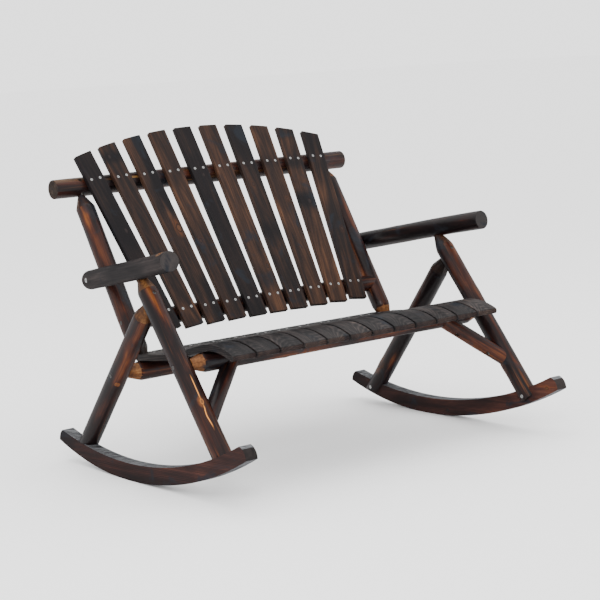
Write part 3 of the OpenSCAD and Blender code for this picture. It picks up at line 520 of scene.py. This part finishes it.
# Back posts: two logs that lean back from the rear seat log to the top rail. Both ends are shaved to
# points, held by a screw up through the seat log and one down through the rail.
post_diameter = 0.055
post_foot, post_head = (0.4420, *rear_log_end[1:]), (0.4420, 0.4365, 0.7766)
dressed_log("back_post_left", sided(-1, post_foot), sided(-1, post_head), post_diameter, seed=41, tone=0.38,
            lit=((48, 26, -0.05, 0.64, 0.20), (5, 30, 0.0, 0.62, 0.10)),
            knots=((0.30, -140, 0.006, 0.0),), point_finish=log_dark_point)
dressed_log("back_post_right", post_foot, post_head, post_diameter, seed=42, tone=0.45,
            lit=((12, 40, 0.08, 0.64, 0.30), (-130, 30, 0.1, 0.5, 0.4)),
            knots=((0.42, 10, 0.006, 0.0), (0.15, -100, 0.009, 0.0)))

# Rails of the back: the thicker top rail lies on the posts' points and stands out past them, and the
# thinner lower rail is hollowed at its ends to fit between the posts. The slats are screwed to both.
rail_skin = scorched_wood("amber rail", log_stops, (0.17, 0.085, 0.022), ring_share=0.0, gloss=0.85,
                          ember_from=0.74, patchy=1.6)
top_rail_diameter, lower_rail_diameter = 0.056, 0.050
top_rail_end, lower_rail_end = (0.5230, *post_head[1:]), (post_head[0], 0.2091, 0.4070)
dressed_log("top_rail", sided(-1, top_rail_end), top_rail_end, top_rail_diameter, seed=51, tone=0.46,
            lit=((138, 26, -0.05, 0.68, 0.26), (-60, 30, 0.5, 1.1, 0.1)), skin_finish=rail_skin,
            knots=((0.86, 40, 0.010, 0.0), (0.20, 60, 0.008, 0.0)), point_reach=0.0)
dressed_log("lower_back_rail", sided(-1, lower_rail_end), lower_rail_end, lower_rail_diameter,
            seed=52, tone=0.42, lit=((60, 50, 0.0, 0.9, 0.2),),
            knots=((0.31, 60, 0.009, 0.0), (0.60, -60, 0.007, 0.0)), point_reach=0.0)

# Armrests: logs bolted to the outer sides of the back posts, which run forward over the points of
# the front legs. The rear end is rounded over and the front end is sawn square. Each log bends a
# few millimetres towards the front in its own way, as its tree grew.
arm_diameter = 0.056
arm_rear, arm_front = (0.4939, 0.3188, 0.5229), (0.5532, -0.1795, 0.6107)
arm_skin = scorched_wood("worn armrest", (
    (0.0, (0.006, 0.0055, 0.006)), (0.30, (0.013, 0.0115, 0.012)), (0.55, (0.028, 0.023, 0.0225)),
    (0.80, (0.058, 0.045, 0.042)), (1.0, (0.13, 0.09, 0.075))),
    (0.16, 0.085, 0.045), ring_share=0.0, gloss=0.25, ember_from=0.95)
arm_end = scorched_wood("armrest end", (
    (0.0, (0.021, 0.019, 0.019)), (0.5, (0.027, 0.024, 0.024)), (1.0, (0.042, 0.036, 0.034))),
    (0.06, 0.030, 0.016), ring_share=0.25, gloss=0.25, ember_from=1.1)
dressed_log("armrest_left", sided(-1, arm_rear), sided(-1, arm_front), arm_diameter, seed=61, tone=0.54,
            lit=((60, 30, 0.36, 0.52, 0.1),), bend=(0.30, (0.006, 0.0, 0.003)), point_reach=0.0,
            skin_finish=arm_skin, end_finish=arm_end,
            knots=((0.486, 118, 0.0036, 0.0), (0.21, 20, 0.007, 0.0)))
dressed_log("armrest_right", arm_rear, arm_front, arm_diameter, seed=62, tone=0.23,
            lit=((150, 40, 0.05, 0.5, 0.14),), bend=(0.30, (-0.004, 0.0, -0.003)), point_reach=0.0,
            end_finish=arm_end, knots=((0.16, 60, 0.009, 0.0),))

# Seat slats: twelve boards sawn to one wavy profile, with a raised crest over the front log and a
# dip behind it, laid side by side and screwed down on both seat logs.
seat_face = scorched_wood("seat slat", (
    (0.0, (0.005, 0.005, 0.0055)), (0.35, (0.012, 0.011, 0.0115)), (0.60, (0.026, 0.022, 0.0215)),
    (0.82, (0.050, 0.040, 0.037)), (1.0, (0.105, 0.076, 0.062))),
    (0.12, 0.055, 0.027), ring_share=0.24, gloss=0.45, ember_from=1.0)
seat_end = scorched_wood("seat slat edge", (
    (0.0, (0.008, 0.006, 0.007)), (0.5, (0.020, 0.014, 0.013)), (1.0, (0.055, 0.036, 0.028))),
    (0.09, 0.042, 0.022), ring_share=0.30, gloss=0.35, ember_from=1.0)
seat_slat_pitch, seat_slat_count = 0.0778333, 12
draw = np.random.RandomState(7)
for number in range(seat_slat_count):
    node = f"seat_slat_{number + 1:02d}"
    centre = (number - (seat_slat_count - 1) / 2) * seat_slat_pitch
    mesh = cut_copy(node, Vector((0, 0, 0)), Vector((0, 1, 0)), step=0.016)
    at = points_of(mesh)
    lean, deep, shift = draw.uniform(-0.10, 0.10), draw.uniform(0.02, 0.06), draw.uniform(-0.03, 0.03)
    grain = np.column_stack((at[:, 0] - centre + shift + lean * at[:, 1], at[:, 2] * 0.6 - 0.2 + deep,
                             at[:, 1] + 2.1 * number))
    around = np.tile((1.0, 0.0, 0.0), (len(at), 1))
    knots = [(centre + draw.uniform(-0.025, 0.025), draw.uniform(-0.28, 0.15), draw.uniform(0.004, 0.008),
              0.0, 0, 0.0)]
    tone = 0.52 + 0.10 * draw.uniform(-1, 1) + 0.06 * np.sin(at[:, 1] * 9.0 + number)
    mark_wood(mesh, grain, around, knots, tone, at[:, :2])
    finished(node, mesh, (seat_face, seat_end),
             lambda face: 1 if abs(face.normal.y) > 0.75 else 0)

# Back slats: ten sawn boards with eased edges, fanned out upwards, their tops cut to one arch. Each
# is scorched to its own shade and held by two screws on each rail.
back_face = scorched_wood("back slat", (
    (0.0, (0.0055, 0.0047, 0.0055)), (0.32, (0.0101, 0.0078, 0.0078)), (0.55, (0.0226, 0.0125, 0.0094)),
    (0.78, (0.0437, 0.0218, 0.014)), (1.0, (0.0936, 0.0413, 0.0203))),
    (0.1716, 0.0562, 0.0156), ring_share=0.13, gloss=0.45, ember_from=1.0)
back_end = scorched_wood("back slat end", (
    (0.0, (0.0064, 0.0048, 0.0056)), (0.5, (0.0176, 0.012, 0.0104)), (1.0, (0.056, 0.0344, 0.0256))),
    (0.08, 0.0384, 0.0208), ring_share=0.32, gloss=0.30, ember_from=1.1)
# The slats' faces lie in one plane that leans back by recline. The lower row of screws runs through
# back_origin, with slats low_pitch apart, and at the upper row they are high_pitch apart.
back_origin = np.array((0.0, 0.1746, 0.4278))
recline = math.radians(31.2)
back_up = np.array((0.0, math.sin(recline), math.cos(recline)))
back_out = np.array((0.0, -math.cos(recline), math.sin(recline)))
rails_apart, low_pitch, high_pitch, back_slat_count = 0.434, 0.0765, 0.0893, 10
# Shade of each slat, and where along it bands of char lie: (place, half width, depth)
back_shades = ((0.28, ((0.25, 0.05, 0.25),)), (0.56, ((0.50, 0.015, 0.55),)), (0.60, ((0.16, 0.06, 0.12),)),
               (0.58, ((0.20, 0.06, 0.12),)), (0.30, ((0.30, 0.1, 0.1),)), (0.64, ((0.05, 0.03, 0.2),)),
               (0.56, ((0.50, 0.10, 0.42), (0.20, 0.03, 0.3))), (0.69, ((0.43, 0.02, 0.15),)),
               (0.70, ((0.29, 0.022, 0.7), (0.42, 0.02, 0.35), (0.53, 0.02, 0.3))),
               (0.46, ((0.30, 0.05, -0.2), (0.47, 0.06, 0.2))))
# One knot on each: (place across, place along, radius, how far its amber wood shows)
back_knots = ((0.010, 0.26, 0.005, 0.0), (-0.012, 0.503, 0.004, 0.0), (0.016, 0.248, 0.0075, 0.40),
              (-0.014, 0.20, 0.004, 0.1), (0.006, 0.41, 0.004, 0.0), (0.016, 0.09, 0.004, 0.1),
              (-0.008, 0.36, 0.004, 0.1), (0.010, 0.30, 0.003, 0.2), (0.006, 0.285, 0.006, 0.0),
              (0.012, 0.18, 0.004, 0.1))
for number in range(back_slat_count):
    node = f"back_slat_{number + 1:02d}"
    steps = number - (back_slat_count - 1) / 2
    fan = math.atan(steps * (high_pitch - low_pitch) / rails_apart)
    along_way = back_up * math.cos(fan) + np.array((math.sin(fan), 0.0, 0.0))
    across_way = np.array((math.cos(fan), 0.0, 0.0)) - back_up * math.sin(fan)
    origin = back_origin + np.array((steps * low_pitch, 0.0, 0.0))
    cuts_across = (-0.0255, -0.021, -0.012, -0.004, 0.004, 0.012, 0.021, 0.0255)
    mesh = cut_copy(node, Vector(origin), Vector(along_way), step=0.012,
                    across=(Vector(across_way), cuts_across))
    off = points_of(mesh) - origin
    across, along, deep = off @ across_way, off @ along_way, off @ back_out
    lean, below, shift = draw.uniform(-0.07, 0.07), draw.uniform(0.012, 0.05), draw.uniform(-0.03, 0.03)
    grain = np.column_stack((across + shift + lean * (along - 0.25), deep + below + 0.02 * along,
                             along + 1.9 * number + 5.0))
    around = np.tile((1.0, 0.0, 0.0), (len(off), 1))
    shade, bands = back_shades[number]
    tone = np.full(len(off), shade)
    for place, half, dark in bands:
        tone = tone - dark * np.exp(-((along - place) / half) ** 2)
    if number == 2:
        # The third slat's right half stayed black above the knot and at the foot, and a flame of
        # bare wood stands over the knot.
        edge = -0.006 + 0.004 * np.sin(along * 31.0)
        tone = tone - 0.65 * np.clip((across - edge) / 0.007, 0, 1) * np.clip((along - 0.29) / 0.03, 0, 1)
        tone = tone - 0.50 * np.clip((across - edge) / 0.010, 0, 1) * np.clip((0.10 - along) / 0.04, 0, 1)
        flame = ((across - 0.006 + 0.06 * (along - 0.30)) / 0.008) ** 2 + ((along - 0.315) / 0.055) ** 2
        tone = tone + 0.80 * np.exp(-flame)
    # Both long edges are painted lighter, a painted highlight of edges catching the light, and the lower end
    # is lighter where the varnish has worn thin.
    edge_highlight = np.clip((np.abs(across) - 0.020) / 0.008, 0, 1)
    edge_highlight = edge_highlight * (0.4 + 0.6 * np.sin(along * 23.0 + number * 2.1) ** 2)
    tone = tone + 0.16 * edge_highlight * (shade > 0.3) + 0.10 * np.clip((0.03 - along) / 0.04, 0, 1)
    knot_across, knot_along, knot_size, knot_glow = back_knots[number]
    mark_wood(mesh, grain, around, [(knot_across, knot_along, knot_size, 0.0, 0, knot_glow)], tone,
              np.column_stack((across, along)))
    ends = Vector(along_way)
    finished(node, mesh, (back_face, back_end),
             lambda face: 1 if abs(face.normal.dot(ends)) > 0.7 else 0)

# Screws and bolts: countersunk wood screws with a cross recess, driven flush. The slats', the feet's
# and the braces' screws and the bolts of the arms are zinc plated, the others black oxide. One tree
# of geometry nodes makes every kind from its sizes and sets one at each place, turned as it was left.
def patches(tree, scale, detail):
    """Noise over a piece's own coordinates, scale patches a metre."""
    where = wire(tree, "ShaderNodeTexCoord").outputs["Object"]
    return wire(tree, "ShaderNodeTexNoise", {"Vector": where, "Scale": scale,
                "Detail": detail}).outputs["Fac"]


zinc = bpy.data.materials.new("zinc plate")
zinc.use_nodes = True
zinc_tree = zinc.node_tree
zinc_shader = zinc_tree.nodes["Principled BSDF"]
zinc_cloud = patches(zinc_tree, 420.0, 3.0)
zinc_fine = patches(zinc_tree, 2600.0, 2.0)
zinc_colour = ramp(zinc_tree, zinc_cloud, (
    (0.3, (0.14, 0.14, 0.14)), (0.55, (0.30, 0.30, 0.295)), (0.8, (0.50, 0.50, 0.49))))
zinc_tree.links.new(zinc_colour, zinc_shader.inputs["Base Color"])
zinc_tree.links.new(sums(zinc_tree, "MULTIPLY_ADD", zinc_fine, 0.3, 0.2), zinc_shader.inputs["Roughness"])
zinc_tree.links.new(wire(zinc_tree, "ShaderNodeBump", {"Height": zinc_fine, "Strength": 0.2,
                    "Distance": 0.0002}).outputs[0], zinc_shader.inputs["Normal"])
zinc_shader.inputs["Metallic"].default_value = 0.75

oxide = bpy.data.materials.new("black oxide")
oxide.use_nodes = True
oxide_tree = oxide.node_tree
oxide_shader = oxide_tree.nodes["Principled BSDF"]
oxide_cloud = patches(oxide_tree, 500.0, 3.0)
oxide_colour = ramp(oxide_tree, oxide_cloud, (
    (0.3, (0.020, 0.020, 0.021)), (0.55, (0.055, 0.053, 0.050)), (0.8, (0.13, 0.12, 0.11))))
oxide_rough = sums(oxide_tree, "MULTIPLY_ADD", oxide_cloud, 0.4, 0.25)
oxide_tree.links.new(oxide_colour, oxide_shader.inputs["Base Color"])
oxide_tree.links.new(oxide_rough, oxide_shader.inputs["Roughness"])
oxide_shader.inputs["Metallic"].default_value = 0.8

screw_tree = bpy.data.node_groups.new("driven screws", "GeometryNodeTree")
screw_tree.interface.new_socket("Places", in_out="INPUT", socket_type="NodeSocketGeometry")
for label in ("Head Width", "Shank Width", "Length"):
    screw_tree.interface.new_socket(label, in_out="INPUT", socket_type="NodeSocketFloat")
screw_tree.interface.new_socket("Seed", in_out="INPUT", socket_type="NodeSocketInt")
screw_tree.interface.new_socket("Plating", in_out="INPUT", socket_type="NodeSocketMaterial")
screw_tree.interface.new_socket("Screws", in_out="OUTPUT", socket_type="NodeSocketGeometry")
given = screw_tree.nodes.new("NodeGroupInput").outputs
head_radius = sums(screw_tree, "MULTIPLY", given["Head Width"], 0.5)
shank_radius = sums(screw_tree, "MULTIPLY", given["Shank Width"], 0.5)
head_height = sums(screw_tree, "SUBTRACT", head_radius, shank_radius)
shank_length = sums(screw_tree, "SUBTRACT", given["Length"], head_height)


def raised(mesh, height):
    lift = wire(screw_tree, "ShaderNodeCombineXYZ", {2: height}).outputs[0]
    return wire(screw_tree, "GeometryNodeTransform", {"Geometry": mesh, "Translation": lift}).outputs[0]


# Sizes of the recess as shares of the head's width and height, and of the tip as one of the shank's
recess_long, recess_wide, recess_deep, tip_share = 0.62, 0.13, 0.9, 0.3
head = wire(screw_tree, "GeometryNodeMeshCone", {"Vertices": 20, "Radius Top": head_radius,
            "Radius Bottom": shank_radius, "Depth": head_height}).outputs["Mesh"]
head = raised(head, sums(screw_tree, "MULTIPLY", head_height, -1.0))
tip_radius = sums(screw_tree, "MULTIPLY", shank_radius, tip_share)
shank = wire(screw_tree, "GeometryNodeMeshCone", {"Vertices": 12, "Side Segments": 3, "Depth": shank_length,
             "Radius Top": shank_radius, "Radius Bottom": tip_radius}).outputs["Mesh"]
shank = raised(shank, sums(screw_tree, "MULTIPLY", given["Length"], -1.0))
slot_long = sums(screw_tree, "MULTIPLY", given["Head Width"], recess_long)
slot_wide = sums(screw_tree, "MULTIPLY", given["Head Width"], recess_wide)
slot_deep = sums(screw_tree, "MULTIPLY", head_height, recess_deep)
for long_way, wide_way in ((slot_long, slot_wide), (slot_wide, slot_long)):
    size = wire(screw_tree, "ShaderNodeCombineXYZ", {0: long_way, 1: wide_way, 2: slot_deep}).outputs[0]
    cutter = wire(screw_tree, "GeometryNodeMeshCube", {"Size": size}).outputs["Mesh"]
    head = wire(screw_tree, "GeometryNodeMeshBoolean", {0: head, 1: cutter},
                operation="DIFFERENCE").outputs[0]
join = screw_tree.nodes.new("GeometryNodeJoinGeometry")
screw_tree.links.new(head, join.inputs[0])
screw_tree.links.new(shank, join.inputs[0])
way = wire(screw_tree, "GeometryNodeInputNamedAttribute", {"Name": "way"},
           data_type="FLOAT_VECTOR").outputs["Attribute"]
turned = wire(screw_tree, "FunctionNodeAlignRotationToVector", {"Vector": way}, axis="Z").outputs[0]
spin = wire(screw_tree, "FunctionNodeRandomValue", data_type="FLOAT")
for socket in spin.inputs:
    if socket.name == "Seed":
        screw_tree.links.new(given["Seed"], socket)
    if socket.type == "VALUE" and socket.name == "Max":
        socket.default_value = math.pi
spin_value = next(socket for socket in spin.outputs if socket.type == "VALUE")
own_turn = wire(screw_tree, "ShaderNodeCombineXYZ", {2: spin_value}).outputs[0]
turned = wire(screw_tree, "FunctionNodeRotateRotation", {"Rotation": turned, "Rotate By": own_turn},
              rotation_space="LOCAL").outputs[0]
placed = wire(screw_tree, "GeometryNodeInstanceOnPoints", {"Points": given["Places"],
              "Instance": join.outputs[0], "Rotation": turned}).outputs[0]
placed = wire(screw_tree, "GeometryNodeRealizeInstances", {0: placed}).outputs[0]
placed = wire(screw_tree, "GeometryNodeSetMaterial", {"Geometry": placed,
              "Material": given["Plating"]}).outputs[0]
result = screw_tree.nodes.new("NodeGroupOutput")
screw_tree.links.new(placed, result.inputs["Screws"])


def screws_in(node):
    """The screws of a CAD node by kind: {(head width, shank width, length): [(middle of the head's
    face, the way that it faces)]}, the places to a micrometre."""
    shape = bmesh.new()
    shape.from_mesh(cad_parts[node].data)
    bmesh.ops.remove_doubles(shape, verts=shape.verts, dist=0.000002)
    seen, kinds = set(), {}
    for first in shape.verts:
        if first in seen:
            continue
        seen.add(first)
        screw = [first]
        for vertex in screw:
            for edge in vertex.link_edges:
                other = edge.other_vert(vertex)
                if other not in seen:
                    seen.add(other)
                    screw.append(other)
        at = np.array([vertex.co for vertex in screw])
        off = at - at.mean(axis=0)
        # A screw is longest along its axis and widest at its head.
        way = np.linalg.eigh(np.cov(off.T))[1][:, 2]
        along = off @ way
        out = np.linalg.norm(off - np.outer(along, way), axis=1)
        if along[out.argmax()] < 0:
            way, along = -way, -along
        face = at[along > along.max() - 0.0001].mean(axis=0)
        tip = out[along < along.min() + 0.0001]
        sizes = tuple(round(float(size), 4) for size in (2 * out.max(), 2 * tip.max(), np.ptp(along)))
        kinds.setdefault(sizes, []).append((tuple(np.round(face, 6)), tuple(np.round(way, 6))))
    shape.free()
    return kinds


def driven(screws, sizes, seed, plating):
    """A mesh of screws of one kind, made by the tree."""
    pattern_mesh = bpy.data.meshes.new("screw places")
    pattern_mesh.from_pydata([place for place, way in screws], [], [])
    ways = pattern_mesh.attributes.new("way", "FLOAT_VECTOR", "POINT")
    ways.data.foreach_set("vector", np.array([way for place, way in screws], dtype=np.float32).ravel())
    pattern = bpy.data.objects.new("screw places", pattern_mesh)
    bpy.context.scene.collection.objects.link(pattern)
    modifier = pattern.modifiers.new("screws", "NODES")
    modifier.node_group = screw_tree
    wanted = dict(zip(("Head Width", "Shank Width", "Length"), sizes), Seed=seed, Plating=plating)
    for socket in screw_tree.interface.items_tree:
        if socket.item_type == "SOCKET" and socket.in_out == "INPUT" and socket.name in wanted:
            modifier[socket.identifier] = wanted[socket.name]
    bpy.context.view_layer.update()
    made = bpy.data.meshes.new_from_object(pattern.evaluated_get(bpy.context.evaluated_depsgraph_get()))
    bpy.data.objects.remove(pattern)
    return made


# The order in which a kind's screws are set decides how each is turned.
def from_left(screw):
    return screw[0][0]


def outer_last(screw):
    outer = 0.40
    return abs(screw[0][0]) > outer, screw[0][0]


def front_first(screw):
    """The front ones before the rear ones, and the right one before the left one."""
    return screw[0][1] > 0, -screw[0][0]


def lowest(kind):
    """The height of the lowest screw of a kind."""
    return min(place[2] for place, way in kind[1])


for node, first_seed, plating, order in (
        ("upper_back_screws", 72, zinc, from_left),
        ("lower_back_screws", 71, zinc, from_left),
        ("front_seat_screws", 73, zinc, from_left),
        ("rear_seat_screws", 74, zinc, outer_last),
        ("rocker_screws", 75, zinc, front_first),
        ("leg_top_screws", 77, oxide, front_first),
        ("arm_leg_screws", 78, oxide, front_first),
        ("arm_post_bolts", 79, zinc, front_first),
        ("top_rail_screws", 80, oxide, front_first),
        ("lower_rail_screws", 81, oxide, front_first),
        ("seat_log_screws", 82, oxide, front_first),
        ("post_foot_screws", 83, oxide, front_first),
        ("knee_brace_screws", 84, zinc, front_first)):
    kinds = sorted(screws_in(node).items(), key=lowest)
    meshes = [driven(sorted(screws, key=order), sizes, first_seed + number, plating)
              for number, (sizes, screws) in enumerate(kinds)]
    shape = bmesh.new()
    for mesh in meshes:
        shape.from_mesh(mesh)
    shape.to_mesh(meshes[0])
    shape.free()
    piece = bpy.data.objects.new(node + "_steel", meshes[0])
    bpy.context.scene.collection.objects.link(piece)
    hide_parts(node)
    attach(piece, "root")
